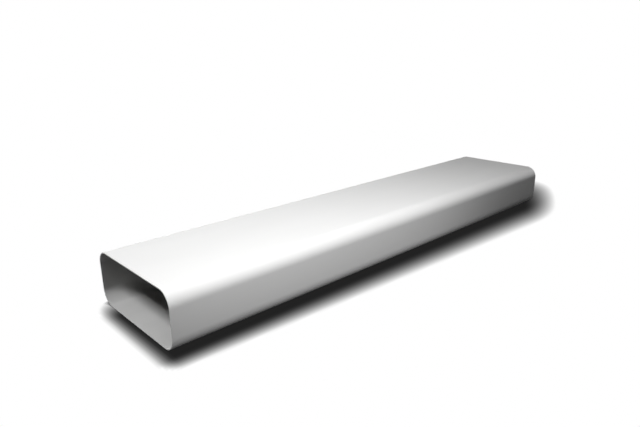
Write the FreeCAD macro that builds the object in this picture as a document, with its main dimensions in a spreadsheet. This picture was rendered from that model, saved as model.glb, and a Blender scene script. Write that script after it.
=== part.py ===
"""Flat channel duct: one length of rigid PVC ventilation duct, extruded in one piece.

The section is a rounded rectangle with the same wall all round, open at both ends.
The length is sawn square, and the sawn edges are broken with a small chamfer.

Millimetres. X runs along the duct, Y across it and Z up. The origin is the middle of
the underside, so the duct lies flat on the plane Z = 0.
"""

import FreeCAD, Part
import math
import os

import Sketcher
from FreeCAD import Vector

NODE = "flat_channel_duct"

# The driving dimensions: alias in the sheet, size in millimetres, what it measures.
SIZES = (
    ("duct_width", 220.0, "outside width of the section"),
    ("duct_height", 90.0, "outside height of the section"),
    ("duct_length", 1000.0, "length that the stock is sawn to"),
    ("wall", 1.8, "thickness of the wall, the same all round"),
    ("corner_radius", 24.0, "outside radius of the four corners"),
    ("edge_break", 0.3, "chamfer on the sawn edges, inside and out"),
)

# Point numbers of a sketch element: its start, its end and an arc's centre.
START, END, CENTRE = 1, 2, 3
# The sketch's horizontal axis, and its origin as that axis's own point.
ACROSS_AXIS = -1
ORIGIN = (ACROSS_AXIS, START)
# A built volume may differ from the worked-out one by this share.
VOLUME_TOLERANCE = 1e-6
# A face counts as square to the duct when its normal is within this many degrees of X.
SQUARE_TOLERANCE = 1.0


def make_sheet(doc):
    """The spreadsheet that holds the driving dimensions, one aliased cell each."""
    sheet = doc.addObject("Spreadsheet::Sheet", "Sizes")
    for row, (alias, size, meaning) in enumerate(SIZES, start=1):
        sheet.set(f"A{row}", alias)
        sheet.set(f"B{row}", str(size))
        sheet.set(f"C{row}", meaning)
        sheet.setAlias(f"B{row}", alias)
    doc.recompute()
    return sheet


def plane_of(body, role):
    """The body's own origin plane with that role, such as YZ_Plane."""
    return next(f for f in body.Origin.OriginFeatures if f.Role == role)


def draw_rounded_rectangle(sketch, half_width, bottom, top, radius):
    """Adds four sides and four corner arcs, tangent where they meet.

    Returns the element numbers of the sides and of the arcs, both counter-clockwise:
    sides bottom, right, top, left, and each arc follows the side of the same place.
    """
    left, right = -half_width, half_width
    ends = (
        (Vector(left + radius, bottom), Vector(right - radius, bottom)),
        (Vector(right, bottom + radius), Vector(right, top - radius)),
        (Vector(right - radius, top), Vector(left + radius, top)),
        (Vector(left, top - radius), Vector(left, bottom + radius)),
    )
    centres = (
        Vector(right - radius, bottom + radius),
        Vector(right - radius, top - radius),
        Vector(left + radius, top - radius),
        Vector(left + radius, bottom + radius),
    )
    sides, arcs = [], []
    for quarter, (side_ends, centre) in enumerate(zip(ends, centres)):
        sides.append(sketch.addGeometry(Part.LineSegment(*side_ends), False))
        first_angle = math.radians(90 * quarter - 90)
        circle = Part.Circle(centre, Vector(0, 0, 1), radius)
        arc = Part.ArcOfCircle(circle, first_angle, first_angle + math.radians(90))
        arcs.append(sketch.addGeometry(arc, False))
    for place, arc in enumerate(arcs):
        next_side = sides[(place + 1) % len(sides)]
        sketch.addConstraint(Sketcher.Constraint("Tangent", sides[place], END, arc, START))
        sketch.addConstraint(Sketcher.Constraint("Tangent", arc, END, next_side, START))
    for place, side in enumerate(sides):
        direction = "Horizontal" if place % 2 == 0 else "Vertical"
        sketch.addConstraint(Sketcher.Constraint(direction, side))
    for arc in arcs[1:]:
        sketch.addConstraint(Sketcher.Constraint("Equal", arcs[0], arc))
    return sides, arcs


def bind(sketch, constraint, name, cell):
    """Adds a dimension to the sketch, names it and ties it to a cell of the sheet."""
    number = sketch.addConstraint(constraint)
    sketch.renameConstraint(number, name)
    sketch.setExpression(f"Constraints.{name}", f"Sizes.{cell}")


def draw_section(body, sheet):
    """The duct's section: the outer outline and, one wall inside it, the airway."""
    sketch = body.newObject("Sketcher::SketchObject", "Section")
    sketch.AttachmentSupport = [(plane_of(body, "YZ_Plane"), "")]
    sketch.MapMode = "FlatFace"
    half_width = sheet.duct_width / 2
    height, wall, radius = sheet.duct_height, sheet.wall, sheet.corner_radius

    outer, outer_arcs = draw_rounded_rectangle(sketch, half_width, 0.0, height, radius)
    bottom, right, top, left = outer
    sketch.addConstraint(Sketcher.Constraint("PointOnObject", bottom, START, ACROSS_AXIS))
    width_across = Sketcher.Constraint("DistanceX", left, END, right, START, sheet.duct_width)
    bind(sketch, width_across, "outside_width", "duct_width")
    # The right side stands half the width from the origin, so the section is centred.
    to_the_right = Sketcher.Constraint("DistanceX", *ORIGIN, right, START, half_width)
    bind(sketch, to_the_right, "half_width", "duct_width / 2")
    height_up = Sketcher.Constraint("DistanceY", bottom, END, top, START, height)
    bind(sketch, height_up, "outside_height", "duct_height")
    bind(sketch, Sketcher.Constraint("Radius", outer_arcs[0], radius), "corner", "corner_radius")

    airway, airway_arcs = draw_rounded_rectangle(
        sketch, half_width - wall, wall, height - wall, radius - wall
    )
    # Arcs on shared centres at two opposite corners keep the wall even all round.
    for corner in (0, 2):
        shared_centre = Sketcher.Constraint(
            "Coincident", outer_arcs[corner], CENTRE, airway_arcs[corner], CENTRE
        )
        sketch.addConstraint(shared_centre)
    floor_thickness = Sketcher.Constraint("DistanceY", bottom, END, airway[0], END, wall)
    bind(sketch, floor_thickness, "wall_thickness", "wall")
    return sketch


def extrude(body, section):
    """The section extruded along the duct, half its length to each side of the origin."""
    tube = body.newObject("PartDesign::Pad", "Extrusion")
    tube.Profile = section
    tube.SideType = "Symmetric"
    tube.setExpression("Length", "Sizes.duct_length")
    return tube


def sawn_faces(tube):
    """Names of the two flat faces that the saw leaves, square to the duct's length."""
    along = Vector(1, 0, 0)
    square = math.cos(math.radians(SQUARE_TOLERANCE))
    names = []
    for number, face in enumerate(tube.Shape.Faces, start=1):
        if abs(face.normalAt(0, 0).dot(along)) > square:
            names.append(f"Face{number}")
    return names


def break_edges(body, tube):
    """A small chamfer round the outside and the airway of both sawn ends."""
    chamfer = body.newObject("PartDesign::Chamfer", "BrokenEdges")
    chamfer.Base = (tube, sawn_faces(tube))
    chamfer.setExpression("Size", "Sizes.edge_break")
    return chamfer


def rounded_area(width, height, radius):
    """Area of a rounded rectangle."""
    return width * height - (4 - math.pi) * radius**2


def tube_volume(sheet):
    """Volume of the sawn tube before its edges are broken."""
    wall = sheet.wall
    outside = rounded_area(sheet.duct_width, sheet.duct_height, sheet.corner_radius)
    airway = rounded_area(
        sheet.duct_width - 2 * wall, sheet.duct_height - 2 * wall, sheet.corner_radius - wall
    )
    return (outside - airway) * sheet.duct_length


def make_duct(doc, sheet):
    """The whole duct as one body: section, extrusion and broken edges."""
    body = doc.addObject("PartDesign::Body", "Duct")
    body.Label = NODE
    section = draw_section(body, sheet)
    tube = extrude(body, section)
    doc.recompute()
    expected = tube_volume(sheet)
    if abs(tube.Shape.Volume - expected) > VOLUME_TOLERANCE * expected:
        raise RuntimeError(f"the tube holds {tube.Shape.Volume:.1f} mm3, not {expected:.1f}")
    chamfer = break_edges(body, tube)
    doc.recompute()
    if not chamfer.Shape.Volume < tube.Shape.Volume:
        raise RuntimeError("the broken edges took nothing off the tube")
    body.Placement = FreeCAD.Placement()
    doc.recompute()
    return body


def check(doc, pieces):
    """Stops before anything is written if an object failed or a piece isn't sound."""
    failed = [o.Name for o in doc.Objects if {"Invalid", "Error"} & set(o.State)]
    if failed:
        raise RuntimeError(f"these objects failed: {failed}")
    for piece in pieces:
        shape = piece.Shape
        if shape.isNull() or not shape.isValid() or len(shape.Solids) != 1:
            raise RuntimeError(f"{piece.Label} isn't one sound solid")


def main():
    doc = FreeCAD.newDocument("flat_channel_duct")
    sheet = make_sheet(doc)
    pieces = [make_duct(doc, sheet)]
    check(doc, pieces)
    os.makedirs("parts", exist_ok=True)
    for piece in pieces:
        piece.Shape.exportStep(os.path.join("parts", f"{piece.Label}.step"))
        box = piece.Shape.BoundBox
        print(f"{piece.Label}: {box.XLength:.1f} x {box.YLength:.1f} x {box.ZLength:.1f} mm,")
        print(f"  {piece.Shape.Volume / 1000:.1f} cm3 of plastic, {len(piece.Shape.Faces)} faces")


main()
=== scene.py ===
# %% [markdown]
# # A length of flat channel duct
# Flat channel duct carries the air from a fan or a cooker hood along the top of a cupboard or
# through a ceiling void. It is one piece of rigid white PVC: the plastic is pushed hot through
# a die, cooled in a sizing sleeve and sawn to length, so there is no seam, screw or joint to
# model. What makes it look real is quieter: even walls, true round corners, a satin skin that
# the die has drawn lines along, and soft light.
#
# A lesson could start from a cube and a bevel. This one starts from the measured model of the
# duct, which is loaded here and stays as it is, so that every size below can be read off it.

# %% Load the measured duct
import math
from itertools import accumulate

import bpy
from mathutils import Matrix, Vector


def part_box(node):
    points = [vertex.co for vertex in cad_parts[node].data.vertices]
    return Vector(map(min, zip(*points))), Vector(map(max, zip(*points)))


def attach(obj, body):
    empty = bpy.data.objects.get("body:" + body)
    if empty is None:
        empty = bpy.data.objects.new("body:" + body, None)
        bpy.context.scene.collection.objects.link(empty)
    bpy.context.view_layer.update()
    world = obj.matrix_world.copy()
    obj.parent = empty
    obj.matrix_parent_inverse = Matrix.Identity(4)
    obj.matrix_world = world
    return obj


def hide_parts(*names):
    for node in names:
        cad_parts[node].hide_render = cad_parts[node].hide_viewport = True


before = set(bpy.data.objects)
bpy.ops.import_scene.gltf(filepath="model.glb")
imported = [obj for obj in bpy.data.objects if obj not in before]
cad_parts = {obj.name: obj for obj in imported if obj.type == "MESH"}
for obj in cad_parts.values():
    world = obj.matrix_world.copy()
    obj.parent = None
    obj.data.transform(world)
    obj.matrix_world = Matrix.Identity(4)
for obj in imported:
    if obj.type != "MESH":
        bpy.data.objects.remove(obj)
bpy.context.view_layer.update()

DUCT = "flat_channel_duct"
MM = 0.001

low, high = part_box(DUCT)
length, width, height = (high - low) / MM
print(f"duct: {length:.0f} x {width:.0f} x {height:.0f} mm")

# %% [markdown]
# ## The sizes of the section
# A few lengths fix an extruded duct: its width, its height, its wall, the radius of its corners
# and the small break on its sawn edges. They could be typed in again, but then a change to the
# model would leave the looks behind. Here they are measured from the loaded points instead. The
# top skin is flat between its corners, so where it ends tells the radius and the edge break, and
# the levels of the points above one another tell the wall.

# %% Measure wall, corners and edge break
NEARLY = 0.02 * MM

points = [vertex.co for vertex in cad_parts[DUCT].data.vertices]
top_skin = [p for p in points if p.z > high.z - NEARLY]
flat_end = max(p.y for p in top_skin)
corner_radius = high.y - flat_end
edge_break = high.x - max(p.x for p in top_skin)
off_ends = [p for p in points if abs(p.x) < high.x - NEARLY]
flat_points = [p for p in off_ends if abs(p.y) < flat_end + NEARLY]
roof_level = max(p.z for p in flat_points if p.z < high.z - NEARLY)
wall = high.z - roof_level
print(f"corner radius {corner_radius / MM:.1f} mm, edge break {edge_break / MM:.2f} mm")
print(f"wall {wall / MM:.2f} mm")

# %% [markdown]
# ## The outline
# The section is a rounded rectangle. A bevel modifier would round a box's corners too, but the
# inside of the wall needs the same corners with a smaller radius, point for point. So the outline
# is walked once, as a list of steps round the duct, and each step knows its place and which way is
# inward. Any layer of the wall is then the same walk, moved inward by a depth.

# %% Walk once round the section
CORNER_STEPS = 40
FLAT_STEP = 1.5 * MM


def walk_flat(start, end, inward):
    """Evenly spaced steps along a flat, without its last point: place and inward direction."""
    count = round((end - start).length / FLAT_STEP)
    return [(start.lerp(end, step / count), inward) for step in range(count)]


def walk_corner(centre, first_angle):
    """Steps round a quarter circle, without its last point."""
    steps = []
    for step in range(CORNER_STEPS):
        angle = first_angle + math.pi / 2 * step / CORNER_STEPS
        outward = Vector((math.cos(angle), math.sin(angle)))
        steps.append((centre + corner_radius * outward, -outward))
    return steps


def walk_section():
    """The outer outline in the plane of Y and Z, anticlockwise from the -Y end of the underside."""
    lower, upper = low.z + corner_radius, high.z - corner_radius
    centres = (
        Vector((flat_end, lower)),
        Vector((flat_end, upper)),
        Vector((-flat_end, upper)),
        Vector((-flat_end, lower)),
    )
    steps = []
    for quarter, centre in enumerate(centres):
        first_angle = (quarter - 1) * math.pi / 2
        outward = Vector((math.cos(first_angle), math.sin(first_angle)))
        reach = corner_radius * outward
        steps += walk_flat(centres[quarter - 1] + reach, centre + reach, -outward)
        steps += walk_corner(centre, first_angle)
    return steps


section = walk_section()
places = [place for place, inward in section]
gaps = [(place - places[i - 1]).length for i, place in enumerate(places)]
print(f"outline: {len(section)} points, {sum(gaps) / MM:.0f} mm round")

# %% [markdown]
# ## The lines that the die leaves
# Every nick in a die draws one faint line along the whole length of the extrusion. The outside is
# pulled against a smooth cooled sleeve, so its lines are a few thousandths of a millimetre deep.
# The inside cools free and keeps more of them. A bump texture could fake this, but the lines run
# true from end to end, so they can be real geometry for free: each point of the outline sinks in
# by its own small depth, and the walls are drawn straight from one end to the other.

# %% Give each point of the outline its own small depth
# The length of each wave round the outline, and the angle at which it starts.
DIE_WAVES = ((61 * MM, 0.4), (23 * MM, 1.9), (9.5 * MM, 4.4), (4.3 * MM, 2.7))
SKIN_RELIEF = 0.006 * MM
BORE_RELIEF = 0.02 * MM


def die_line_depth(along):
    """How far the die sinks a point, from 0 to 1, by its distance along the outline."""
    waves = [math.sin(2 * math.pi * along / wave + start) for wave, start in DIE_WAVES]
    return 0.5 + 0.5 * sum(waves) / len(waves)


distances = accumulate([0.0] + gaps[1:])
die_depths = [die_line_depth(distance) for distance in distances]
print(f"die lines: skin up to {SKIN_RELIEF / MM:.3f} mm deep, bore up to {BORE_RELIEF / MM:.3f} mm")

# %% [markdown]
# ## The tube
# A tube with a wall is a ring of wall drawn round the outline. Imagine a cut along the duct: the
# wall is a long thin strip, out along the skin, over the sawn edge, across the rim, and back along
# the bore. That strip is a short list of stations, each a place along X and a depth in the wall.
# Sweeping it round the outline gives one closed skin of four-sided faces with no caps to patch,
# and it keeps the two broken edges as true small rounds that catch the light.

# %% List the stations along the wall
LENGTH_STEPS = 24
HOLD = 1.5 * MM
EDGE_STEPS = 4
RIM_STEPS = 3
SKIN, BORE, RIM = 0, 1, 2


def stations_of_one_end(end, sense):
    """From the skin over the rim to the bore at one end; sense is the end's side along X."""
    listed = []
    for step in range(EDGE_STEPS + 1):
        turn = math.pi / 2 * step / EDGE_STEPS
        x = end - sense * edge_break * (1 - math.sin(turn))
        listed.append((x, edge_break * (1 - math.cos(turn)), RIM))
    for step in range(1, RIM_STEPS):
        depth = edge_break + (wall - 2 * edge_break) * step / RIM_STEPS
        listed.append((end, depth, RIM))
    for step in range(EDGE_STEPS + 1):
        turn = math.pi / 2 * step / EDGE_STEPS
        x = end - sense * edge_break * (1 - math.cos(turn))
        listed.append((x, wall - edge_break * (1 - math.sin(turn)), RIM))
    return listed


def stations_between(first, last, depth, zone):
    """Stations strictly between two places along X: one close to each place, the rest even."""
    hold = math.copysign(HOLD, last - first)
    even = [first + (last - first) * step / LENGTH_STEPS for step in range(1, LENGTH_STEPS)]
    return [(x, depth, zone) for x in (first + hold, *even, last - hold)]


near, far = low.x + edge_break, high.x - edge_break
far_end = stations_of_one_end(high.x, 1)
near_end = stations_of_one_end(low.x, -1)
stations = (
    stations_between(near, far, 0.0, SKIN)
    + far_end
    + stations_between(far, near, wall, BORE)
    + near_end[::-1]
)
print(f"wall: {len(stations)} stations")

# %% [markdown]
# ## Sweep the stations round the outline
# The mesh is now two loops, one inside the other: for each station, one ring of points. Each face
# joins two neighbouring points on two neighbouring rings, and it remembers whether it is skin,
# bore or rim. The die lines fade out over the last millimetre and a half, so the sawn edges stay
# true to their sizes.

# %% Sweep the wall


def ring_of_points(x, depth, zone):
    """One ring of the wall, at its place along X and its depth below the skin."""
    relief = {SKIN: SKIN_RELIEF, BORE: -BORE_RELIEF, RIM: 0.0}[zone]
    ring = []
    for (place, inward), die_depth in zip(section, die_depths):
        y, z = place + inward * (depth + relief * die_depth)
        ring.append((x, y, z))
    return ring


def sweep_wall():
    """Vertices and faces of the whole duct, and the zone of each face."""
    size = len(section)
    vertices = [point for station in stations for point in ring_of_points(*station)]
    ring_zones = [zone for x, depth, zone in stations]
    faces, zones = [], []
    for i, zone in enumerate(ring_zones):
        following = (i + 1) % len(stations)
        # A face that joins the rim to the skin or to the bore belongs to that one.
        face_zone = min(zone, ring_zones[following])
        for j in range(size):
            k = (j + 1) % size
            faces.append((i * size + j, i * size + k, following * size + k, following * size + j))
            zones.append(face_zone)
    return vertices, faces, zones


vertices, faces, zones = sweep_wall()
print(f"swept: {len(vertices)} points, {len(faces)} faces")

# %% [markdown]
# ## One piece
# The real duct leaves the saw as one piece, and so it is one mesh. Two walls and two rims as four
# objects would be easier to colour, but their edges would have to be kept together. Instead, each
# face keeps its zone as the number of its finish. Shading is smooth all over: on a box with sharp
# edges that would look swollen, but here every edge is a small round.

# %% Build the duct
mesh = bpy.data.meshes.new("flat_duct")
mesh.from_pydata(vertices, [], faces)
mesh.polygons.foreach_set("material_index", zones)
mesh.polygons.foreach_set("use_smooth", [True] * len(faces))
mesh.validate()
mesh.update()
duct = bpy.data.objects.new("flat_duct", mesh)
bpy.context.scene.collection.objects.link(duct)
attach(duct, "root")
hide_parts(DUCT)
print(f"duct mesh: {len(mesh.vertices)} points, {len(mesh.polygons)} faces")

# %% [markdown]
# ## The plain plastic
# White rigid PVC is opaque and satin: it spreads light like paper, with a soft gloss on top. The
# Principled shader holds both in one node. What is the same all over, how strongly the plastic
# bends light and how much gloss it has, is set straight on the shader. The duct wears three
# finishes of this one plastic: the skin that the sleeve smoothed, the bore that cooled free and
# the rim that the saw left. They go on in the order of the zones that the faces remember.

# %% Make three finishes of the plastic
PVC_IOR = 1.53
PVC_GLOSS = 0.10


def surface_of(finish):
    """The main shader of a finish."""
    return finish.node_tree.nodes["Principled BSDF"]


def plastic(name):
    """A finish of the plain plastic, put on the duct."""
    finish = bpy.data.materials.new(name)
    finish.use_nodes = True
    surface_of(finish).inputs["IOR"].default_value = PVC_IOR
    surface_of(finish).inputs["Specular IOR Level"].default_value = PVC_GLOSS
    mesh.materials.append(finish)
    return finish


skin = plastic("pvc_skin")
bore = plastic("pvc_bore")
rim = plastic("pvc_sawn")
print("finishes on the duct:", [finish.name for finish in mesh.materials])

# %% [markdown]
# ## The pigment, and the painted shade of the bore
# The white is a mineral pigment stirred into the plastic, and it is never stirred in quite evenly.
# One flat colour would look like plaster. Here a slow noise moves each finish between two near
# whites, about one part in a hundred either way on the skin. The noise uses the duct's own
# coordinates, so it stays on the plastic from every side, and it is stretched along X, as the
# plastic was. The bore is the same white plastic, but its colour is painted shade. At full white its
# walls would light one another until the mouth looked washed out, so it is painted a pale grey that
# keeps the mouth dark. It also spreads light as a dull surface does.

# %% Colour the finishes
PVC_DARK, PVC_LIGHT = (0.852, 0.852, 0.847), (0.868, 0.868, 0.864)
# The bore's two greys are painted shade, not the plastic's own colour: they keep the mouth dark.
BORE_SHADED_DARK, BORE_SHADED_LIGHT = (0.63, 0.63, 0.625), (0.67, 0.67, 0.666)
BORE_DULLNESS = 1.0
CLOUD_STRETCH = (5, 16, 16)
SAWN_STRETCH = (120, 120, 120)
CLOUD_DETAIL = 3
NOISE_LOW, NOISE_HIGH = 0.3, 0.7
NODE_SPACING = 220
# Where the mix node keeps its two colours and its mixed colour among its sockets.
MIX_FIRST, MIX_SECOND, MIX_RESULT = 6, 7, 2


def add(tree, kind, at, **settings):
    """Adds a node of that kind, placed in columns and rows, with its settings."""
    node = tree.nodes.new(kind)
    node.location = (NODE_SPACING * at[0], -NODE_SPACING * at[1])
    for name, value in settings.items():
        setattr(node, name, value)
    return node


def link(tree, source, target):
    """Joins an output socket to an input socket."""
    tree.links.new(source, target)


def stretched_noise(tree, at, stretch, detail):
    """Noise in the duct's own coordinates; stretch gives its cycles per metre on X, Y and Z."""
    where = add(tree, "ShaderNodeTexCoord", (at[0] - 2, at[1]))
    scale = add(tree, "ShaderNodeMapping", (at[0] - 1, at[1]))
    scale.inputs["Scale"].default_value = stretch
    noise = add(tree, "ShaderNodeTexNoise", at)
    noise.inputs["Scale"].default_value = 1.0
    noise.inputs["Detail"].default_value = detail
    link(tree, where.outputs["Object"], scale.inputs["Vector"])
    link(tree, scale.outputs["Vector"], noise.inputs["Vector"])
    return noise.outputs["Fac"]


def mapped(tree, at, source, lowest, highest):
    """Brings a noise, which mostly lies between its low and its high, into a range of values."""
    ramp = add(tree, "ShaderNodeMapRange", at)
    ramp.inputs["From Min"].default_value = NOISE_LOW
    ramp.inputs["From Max"].default_value = NOISE_HIGH
    ramp.inputs["To Min"].default_value = lowest
    ramp.inputs["To Max"].default_value = highest
    link(tree, source, ramp.inputs["Value"])
    return ramp.outputs["Result"]


def colour(finish, darkest, lightest, stretch):
    """Lets the colour of a finish wander between two colours."""
    tree = finish.node_tree
    cloud = stretched_noise(tree, (-4, 0), stretch, CLOUD_DETAIL)
    mix = add(tree, "ShaderNodeMix", (-2, 0), data_type="RGBA")
    mix.inputs[MIX_FIRST].default_value = (*darkest, 1.0)
    mix.inputs[MIX_SECOND].default_value = (*lightest, 1.0)
    link(tree, mapped(tree, (-3, 0), cloud, 0, 1), mix.inputs["Factor"])
    link(tree, mix.outputs[MIX_RESULT], surface_of(finish).inputs["Base Color"])
    print(f"{finish.name}: colour from {darkest} to {lightest}")


colour(skin, PVC_DARK, PVC_LIGHT, CLOUD_STRETCH)
# Painted shade: the bore gets greys in place of the skin's whites.
colour(bore, BORE_SHADED_DARK, BORE_SHADED_LIGHT, CLOUD_STRETCH)
colour(rim, PVC_DARK, PVC_LIGHT, SAWN_STRETCH)
surface_of(bore).inputs["Diffuse Roughness"].default_value = BORE_DULLNESS

# %% [markdown]
# ## Streaks and grain
# The sleeve polishes some lines of the skin more than others, so the gloss is a little streaked
# along the duct, and the plastic has a grain that only shows close by. Both are finer than the
# mesh, so they are textures: one long noise sets the roughness and a shallow bump, and a fine
# even noise lies over it as the grain. The bore was polished by nothing, so it is rougher.

# %% Streak the skin and the bore
STREAK_DETAIL = 4
GRAIN_STRETCH = (900, 900, 900)
GRAIN_DETAIL = 2


def bumped(tree, at, height, distance, under=None):
    """A bump of that height in metres, laid over another one if there is one."""
    bump = add(tree, "ShaderNodeBump", at)
    bump.inputs["Distance"].default_value = distance
    bump.inputs["Strength"].default_value = 1.0
    link(tree, height, bump.inputs["Height"])
    if under is not None:
        link(tree, under, bump.inputs["Normal"])
    return bump.outputs["Normal"]


def streak(finish, stretch, roughness, line_height, grain_height):
    """Gives a finish its streaks along the duct, in gloss and in relief, and its grain."""
    tree = finish.node_tree
    surface = surface_of(finish)
    streaks = stretched_noise(tree, (-4, 2), stretch, STREAK_DETAIL)
    link(tree, mapped(tree, (-3, 2), streaks, *roughness), surface.inputs["Roughness"])
    lines = bumped(tree, (-3, 3), streaks, line_height)
    grain = stretched_noise(tree, (-4, 4), GRAIN_STRETCH, GRAIN_DETAIL)
    relief = bumped(tree, (-2, 3), grain, grain_height, under=lines)
    link(tree, relief, surface.inputs["Normal"])
    print(f"{finish.name}: roughness {roughness[0]} to {roughness[1]}")


streak(
    skin,
    stretch=(1.2, 260, 260),
    roughness=(0.50, 0.60),
    line_height=0.004 * MM,
    grain_height=0.003 * MM,
)
streak(
    bore,
    stretch=(1.6, 190, 190),
    roughness=(0.56, 0.68),
    line_height=0.012 * MM,
    grain_height=0.006 * MM,
)

# %% [markdown]
# ## The sawn rim
# A saw leaves the ends duller than the skin, with fine parallel scratches where its teeth went
# through. The rim is under two millimetres wide, so this shows only close by, but it is what
# tells a cut end from a moulded one. A wave texture gives the teeth's regular spacing, and some
# distortion keeps it from looking ruled.

# %% Mark the sawn ends
SAWN_ROUGHNESS = (0.58, 0.70)
SAW_PITCH = 0.9 * MM
SAW_DEPTH = 0.02 * MM
SAW_WOBBLE = 2.0
SAW_DETAIL = 2.0
# A wave texture turns by this angle in each metre when its scale is 1.
WAVE_RADIANS = 20


def saw_marks(finish):
    """Dulls a finish unevenly and gives it the marks of the teeth."""
    tree = finish.node_tree
    surface = surface_of(finish)
    scuffs = stretched_noise(tree, (-4, 2), SAWN_STRETCH, CLOUD_DETAIL)
    link(tree, mapped(tree, (-3, 2), scuffs, *SAWN_ROUGHNESS), surface.inputs["Roughness"])
    where = add(tree, "ShaderNodeTexCoord", (-5, 3))
    teeth = add(tree, "ShaderNodeTexWave", (-4, 3), bands_direction="Y")
    teeth.inputs["Scale"].default_value = 2 * math.pi / SAW_PITCH / WAVE_RADIANS
    teeth.inputs["Distortion"].default_value = SAW_WOBBLE
    teeth.inputs["Detail"].default_value = SAW_DETAIL
    link(tree, where.outputs["Object"], teeth.inputs["Vector"])
    link(tree, bumped(tree, (-2, 3), teeth.outputs["Fac"], SAW_DEPTH), surface.inputs["Normal"])


saw_marks(rim)
print(f"saw marks: one each {SAW_PITCH / MM:.1f} mm, {SAW_DEPTH / MM:.2f} mm deep")

# %% [markdown]
# ## The shadow
# The duct lies on a white studio floor, and a low, long object is held to its floor by its shadow.
# Lit by the lamps, a floor never comes out as an even white, so this one is shown as white light,
# but only to the eye and to reflections: it throws none of that light on the duct. Its shadow is
# worked out instead, as how far each place of the floor is from the duct's footprint, measured in
# the reach that the shadow has on that side. The main light hangs high beyond the near end and a
# little to the left, so the reach is short in front of the mouth, longer down the right side and
# longest past the far end.

# %% Work out the shadow on the floor
SHADOW_FRONT = 28 * MM
SHADOW_SIDE_NEAR = 34 * MM
SHADOW_SIDE_FAR = 88 * MM
SHADOW_END = 172 * MM
END_INSET = 50 * MM
END_SLANT = 1.7
END_SLANT_WIDTH = 65 * MM
SHADOW_LEFT = 66 * MM
LEFT_INSET = 70 * MM
SHADOW_POWER = 2.6
SHADOW_DARK = 0.016


def floor_whiteness(x, y):
    """From dark under the duct to 1 where its shadow has faded out."""
    along = min(max((x - low.x) / (high.x - low.x), 0.0), 1.0)
    side_reach = SHADOW_SIDE_NEAR + (SHADOW_SIDE_FAR - SHADOW_SIDE_NEAR) * along
    slant = END_SLANT * END_SLANT_WIDTH * math.tanh((y - low.y) / END_SLANT_WIDTH)
    end = high.x - END_INSET + slant
    lengthwise = max((low.x - x) / SHADOW_FRONT, (x - end) / SHADOW_END, 0.0)
    crosswise = max((low.y - y) / side_reach, (y - high.y + LEFT_INSET) / SHADOW_LEFT, 0.0)
    faded = min(math.hypot(lengthwise, crosswise), 1.0)
    return SHADOW_DARK + (1 - SHADOW_DARK) * faded**SHADOW_POWER


foot = floor_whiteness(0.0, low.y)
off_foot = floor_whiteness(0.0, low.y - SHADOW_SIDE_NEAR)
print(f"whiteness at the side's foot {foot:.3f}, {SHADOW_SIDE_NEAR / MM:.0f} mm off it {off_foot:.3f}")

# %% [markdown]
# ## The floor
# A single square would do for a plain floor. This one is a mesh of small squares round the duct,
# with one wide row out to the horizon on each side, because each of its points keeps its own
# whiteness. It lies a hair below the duct, so that the two never share a level.

# %% Lay the floor
FLOOR_HALF = 12.0
FLOOR_DROP = 0.2 * MM
FLOOR_STEP = 5 * MM
FLOOR_MARGIN = 0.3


def floor_lines(first, last):
    """Places of the floor's lines along one axis: fine near the duct, then out to the edges."""
    count = math.ceil((last - first + 2 * FLOOR_MARGIN) / FLOOR_STEP)
    fine = [first - FLOOR_MARGIN + FLOOR_STEP * step for step in range(count + 1)]
    return [-FLOOR_HALF] + fine + [FLOOR_HALF]


def lay_floor():
    """The floor's mesh, with the whiteness of each point as an attribute."""
    xs, ys = floor_lines(low.x, high.x), floor_lines(low.y, high.y)
    level = low.z - FLOOR_DROP
    spots = [(x, y, level) for y in ys for x in xs]
    across = len(xs)
    squares = [
        (j * across + i, j * across + i + 1, (j + 1) * across + i + 1, (j + 1) * across + i)
        for j in range(len(ys) - 1)
        for i in range(across - 1)
    ]
    laid = bpy.data.meshes.new("floor")
    laid.from_pydata(spots, [], squares)
    whiteness = laid.attributes.new("whiteness", "FLOAT", "POINT")
    whiteness.data.foreach_set("value", [floor_whiteness(x, y) for x, y, z in spots])
    return laid


floor = bpy.data.objects.new("floor", lay_floor())
bpy.context.scene.collection.objects.link(floor)
print(f"floor: {len(floor.data.polygons)} squares, {FLOOR_DROP / MM:.1f} mm below the duct")

# %% [markdown]
# ## The white of the floor
# The floor's shader asks what kind of ray has met it. The eye, a reflection and a look through
# glass get its white, darkened by the shadow that its points keep. Light that bounces gets a
# floor that is nearly black, so the floor lights the duct no more than a dark one would. One thing
# is left to the renderer: right at the foot of the duct, on the lit side too, two surfaces that
# meet are dark. Ambient occlusion with a short reach finds that line wherever they touch.

# %% Finish the floor
CONTACT_REACH = 10 * MM
CONTACT_POWER = 3.0
CONTACT_SAMPLES = 16
FLOOR_BOUNCE = (0.04, 0.04, 0.04)


def seen_rays(tree, at):
    """1 where the ray comes from the eye, a reflection or through glass, and 0 elsewhere."""
    path = add(tree, "ShaderNodeLightPath", at)
    either = add(tree, "ShaderNodeMath", (at[0] + 1, at[1]), operation="MAXIMUM")
    all_three = add(tree, "ShaderNodeMath", (at[0] + 2, at[1]), operation="MAXIMUM")
    link(tree, path.outputs["Is Glossy Ray"], either.inputs[0])
    link(tree, path.outputs["Is Transmission Ray"], either.inputs[1])
    link(tree, either.outputs[0], all_three.inputs[0])
    link(tree, path.outputs["Is Camera Ray"], all_three.inputs[1])
    return all_three.outputs[0]


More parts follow.
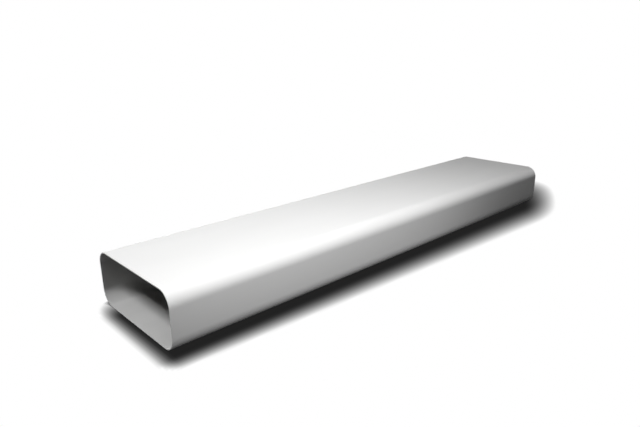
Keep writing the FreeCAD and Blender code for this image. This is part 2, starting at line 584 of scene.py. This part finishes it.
def shaded_white(tree):
    """The floor's whiteness, or the dark of the foot line where that is darker."""
    whiteness = add(tree, "ShaderNodeAttribute", (-3, 0), attribute_name="whiteness")
    foot_line = add(tree, "ShaderNodeAmbientOcclusion", (-4, 1), samples=CONTACT_SAMPLES)
    foot_line.inputs["Distance"].default_value = CONTACT_REACH
    contact = add(tree, "ShaderNodeMath", (-3, 1), operation="POWER")
    contact.inputs[1].default_value = CONTACT_POWER
    link(tree, foot_line.outputs["AO"], contact.inputs[0])
    darker = add(tree, "ShaderNodeMath", (-2, 0), operation="MINIMUM")
    link(tree, whiteness.outputs["Fac"], darker.inputs[0])
    link(tree, contact.outputs[0], darker.inputs[1])
    dark_limit = add(tree, "ShaderNodeMath", (-1, 0), operation="MAXIMUM")
    dark_limit.inputs[1].default_value = SHADOW_DARK
    link(tree, darker.outputs[0], dark_limit.inputs[0])
    return dark_limit.outputs[0]


def floor_finish():
    """White with its shadow to the eye, and nearly black to the lamps."""
    finish = bpy.data.materials.new("studio_floor")
    finish.use_nodes = True
    tree = finish.node_tree
    tree.nodes.clear()
    shown = add(tree, "ShaderNodeEmission", (0, 0))
    link(tree, shaded_white(tree), shown.inputs["Strength"])
    bounce = add(tree, "ShaderNodeBsdfDiffuse", (0, 1))
    bounce.inputs["Color"].default_value = (*FLOOR_BOUNCE, 1.0)
    choose = add(tree, "ShaderNodeMixShader", (1, 0))
    link(tree, seen_rays(tree, (-3, 3)), choose.inputs["Fac"])
    link(tree, bounce.outputs[0], choose.inputs[1])
    link(tree, shown.outputs[0], choose.inputs[2])
    out = add(tree, "ShaderNodeOutputMaterial", (2, 0))
    link(tree, choose.outputs[0], out.inputs["Surface"])
    finish.cycles.emission_sampling = "NONE"
    return finish


floor.data.materials.append(floor_finish())
print(f"floor finish: foot line within {CONTACT_REACH / MM:.0f} mm, bounce {FLOOR_BOUNCE[0]}")

# %% [markdown]
# ## The room
# Beyond the floor the picture is white. The room itself is dim, because a bright room would fill
# the duct's mouth and the shaded side with light from everywhere. So the world is white only to the
# eye, and near the horizon to reflections, and it is a dark grey to everything else.

# %% Set the world
ROOM_GREY = (0.008, 0.008, 0.008)
HORIZON_LOW, HORIZON_HIGH = 0.02, 0.12


def horizon(tree):
    """1 for a ray that runs level or down, fading to 0 for one that runs up."""
    where = add(tree, "ShaderNodeTexCoord", (-5, 0))
    split = add(tree, "ShaderNodeSeparateXYZ", (-4, 0))
    link(tree, where.outputs["Generated"], split.inputs[0])
    fade = add(tree, "ShaderNodeMapRange", (-3, 0))
    fade.inputs["From Min"].default_value = HORIZON_LOW
    fade.inputs["From Max"].default_value = HORIZON_HIGH
    fade.inputs["To Min"].default_value = 1.0
    fade.inputs["To Max"].default_value = 0.0
    link(tree, split.outputs["Z"], fade.inputs["Value"])
    return fade.outputs["Result"]


def set_world():
    """White to the eye, white low down to reflections, dim to the rest."""
    world = bpy.data.worlds.new("studio")
    world.use_nodes = True
    tree = world.node_tree
    tree.nodes.clear()
    dim = add(tree, "ShaderNodeBackground", (0, 1))
    dim.inputs["Color"].default_value = (*ROOM_GREY, 1.0)
    white = add(tree, "ShaderNodeBackground", (0, 2))
    white.inputs["Color"].default_value = (1.0, 1.0, 1.0, 1.0)
    low_reflections = add(tree, "ShaderNodeMath", (-1, 0), operation="MULTIPLY")
    link(tree, seen_rays(tree, (-4, 3)), low_reflections.inputs[0])
    link(tree, horizon(tree), low_reflections.inputs[1])
    path = add(tree, "ShaderNodeLightPath", (-1, 3))
    shown = add(tree, "ShaderNodeMath", (0, 0), operation="MAXIMUM")
    link(tree, low_reflections.outputs[0], shown.inputs[0])
    link(tree, path.outputs["Is Camera Ray"], shown.inputs[1])
    choose = add(tree, "ShaderNodeMixShader", (1, 0))
    link(tree, shown.outputs[0], choose.inputs["Fac"])
    link(tree, dim.outputs[0], choose.inputs[1])
    link(tree, white.outputs[0], choose.inputs[2])
    out = add(tree, "ShaderNodeOutputWorld", (2, 0))
    link(tree, choose.outputs[0], out.inputs["Surface"])
    bpy.context.scene.world = world


set_world()
print(f"room grey {ROOM_GREY[0]}")

# %% [markdown]
# ## The lamps
# Three soft boxes shape the duct. The first hangs high beyond the near end and looks into the
# mouth. The second is over the near half, so the top turns from white to grey towards the far end.
# The third stands low beside the long side and lifts it out of the shade. One big lamp would be
# less work, but it would light the top and the side alike, and the round edge between them would
# hardly show.

# %% Place the soft boxes


def soft_box(name, place, aim, sides, watts):
    """A rectangular lamp at a place in metres, facing a point, hidden from the eye."""
    lamp = bpy.data.lights.new(name, "AREA")
    lamp.shape = "RECTANGLE"
    lamp.size, lamp.size_y = sides
    lamp.energy = watts
    box = bpy.data.objects.new(name, lamp)
    box.location = place
    box.rotation_euler = (Vector(aim) - Vector(place)).to_track_quat("-Z", "Y").to_euler()
    box.visible_camera = False
    bpy.context.scene.collection.objects.link(box)
    print(f"{name}: {watts} W, {sides[0]} x {sides[1]} m")
    return box


soft_box(
    "mouth_box",
    place=(-1.15, 0.12, 1.40),
    aim=(-0.15, 0.0, 0.06),
    sides=(0.2, 0.36),
    watts=16.2,
)
soft_box(
    "top_box",
    place=(-0.13, -0.10, 0.93),
    aim=(-0.13, 0.0, 0.06),
    sides=(0.24, 0.08),
    watts=3.1,
)
soft_box(
    "side_box",
    place=(-0.20, -0.33, 0.22),
    aim=(-0.14, 0.0, 0.06),
    sides=(0.76, 0.22),
    watts=0.86,
)

# %% [markdown]
# ## Two strips and a card
# Seen from behind, the back and the far end of the duct would be almost black. More light from the
# room would lift them, but it would also fill the mouth. Two low strips keep them readable
# instead, and they lie below the level of the top, so they add nothing to it. Last comes a card
# past the far end that shows only in reflections: it draws the light band along the rounded edge
# of the far half, as a bright wall behind a real duct would.

# %% Place the strips and the card
soft_box(
    "back_strip",
    place=(0.0, 0.75, 0.045),
    aim=(0.0, 0.0, 0.045),
    sides=(1.0, 0.08),
    watts=0.8,
)
soft_box(
    "far_strip",
    place=(1.0, 0.32, 0.045),
    aim=(0.5, 0.0, 0.045),
    sides=(0.3, 0.08),
    watts=1.0,
)
sheen = soft_box(
    "sheen_card",
    place=(1.55, -0.50, 0.47),
    aim=(-0.20, -0.10, 0.08),
    sides=(0.84, 0.70),
    watts=14.0,
)
sheen.visible_diffuse = False

# %% [markdown]
# ## The camera
# The eye stands in front of the near end, to the right of it and above it, at over four times the
# duct's height. Its place, its aim and its lens were worked out so that the duct's edges fall where
# the picture has them. The picture is also turned by a little over half a degree.

# %% Set the camera
EYE = Vector((-0.7853, -0.6982, 0.3930))
AIM = Vector((-0.0359, 0.1015, 0.0450))
LENS_MM = 30.5
SENSOR_MM = 36.0
ROLL_DEGREES = -0.6
FARTHEST_SEEN = 100.0


def set_camera():
    """A camera at the eye, facing the aim, turned about its own axis by the roll."""
    lens = bpy.data.cameras.new("eye")
    lens.lens = LENS_MM
    lens.sensor_width = SENSOR_MM
    lens.clip_end = FARTHEST_SEEN
    camera = bpy.data.objects.new("eye", lens)
    facing = (AIM - EYE).to_track_quat("-Z", "Y").to_matrix().to_4x4()
    turn = Matrix.Rotation(math.radians(ROLL_DEGREES), 4, "Z")
    camera.matrix_world = Matrix.Translation(EYE) @ facing @ turn
    bpy.context.scene.collection.objects.link(camera)
    bpy.context.scene.camera = camera


set_camera()
bpy.context.scene.view_settings.view_transform = "Standard"
print(f"camera {(EYE - AIM).length:.2f} m from its aim")
